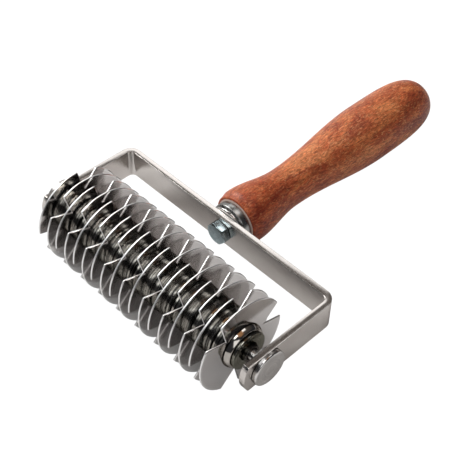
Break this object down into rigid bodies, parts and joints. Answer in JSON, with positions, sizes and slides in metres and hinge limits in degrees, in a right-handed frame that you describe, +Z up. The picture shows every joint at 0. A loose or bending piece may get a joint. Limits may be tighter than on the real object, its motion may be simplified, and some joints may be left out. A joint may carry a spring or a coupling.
{
  "type": "lattice roller cutter",
  "caption": "Hand roller with notched round blades on a free-turning core, held in a bent steel strap yoke that is bolted to a turned wooden handle.",
  "frame": {"origin": "on the floor, under the middle of the whole tool's box", "axes": "+X along the axle towards its domed head, +Y from the roller towards the handle, +Z up from the surface that the blades and the handle lie on"},
  "size_m": [0.152, 0.2244, 0.05],
  "materials": {
    "blade": "thin stamped stainless sheet, satin faces with fine turning marks and bright cut edges",
    "spacer": "turned and mirror-polished steel with fine ring marks",
    "hub": "turned and polished steel",
    "core": "turned steel tube, dark and oiled",
    "axle": "turned steel with a softly polished domed head",
    "washer": "stamped steel washer with rounded edges",
    "strap": "brushed stainless strap, grain along its length",
    "bolt": "bright zinc plating with a blue passivated tint",
    "ferrule": "polished turned steel",
    "insert": "machined brass, hidden in the handle",
    "handle": "red-brown hardwood, fine short speckled grain along the handle, satin varnish"
  },
  "bodies": {
    "frame": {"axle": "axle", "cap_nut": "axle", "thrust_washer_left": "washer", "thrust_washer_right": "washer", "frame_yoke": "strap", "hex_bolt": "bolt", "ferrule_washer": "washer", "ferrule": "ferrule", "threaded_insert": "insert", "handle": "handle"},
    "roller": {"roller_core": "core", "blade_01": "blade", "blade_02": "blade", "blade_03": "blade", "blade_04": "blade", "blade_05": "blade", "blade_06": "blade", "blade_07": "blade", "blade_08": "blade", "blade_09": "blade", "blade_10": "blade", "blade_11": "blade", "blade_12": "blade", "blade_13": "blade", "blade_14": "blade", "blade_15": "blade", "blade_16": "blade", "blade_17": "blade", "blade_18": "blade", "spacer_01": "spacer", "spacer_02": "spacer", "spacer_03": "spacer", "spacer_04": "spacer", "spacer_05": "spacer", "spacer_06": "spacer", "spacer_07": "spacer", "spacer_08": "spacer", "spacer_09": "spacer", "spacer_10": "spacer", "spacer_11": "spacer", "spacer_12": "spacer", "spacer_13": "spacer", "spacer_14": "spacer", "spacer_15": "spacer", "spacer_16": "spacer", "spacer_17": "spacer", "end_hub_left": "hub", "end_hub_right": "hub", "end_flange_left": "hub", "end_flange_right": "hub"}
  },
  "joints": [
    {"name": "roller_spin", "type": "hinge", "parent": "frame", "child": "roller", "pos_m": [0, -0.08723, 0.025], "axis": [1, 0, 0], "continuous": true}
  ]
}
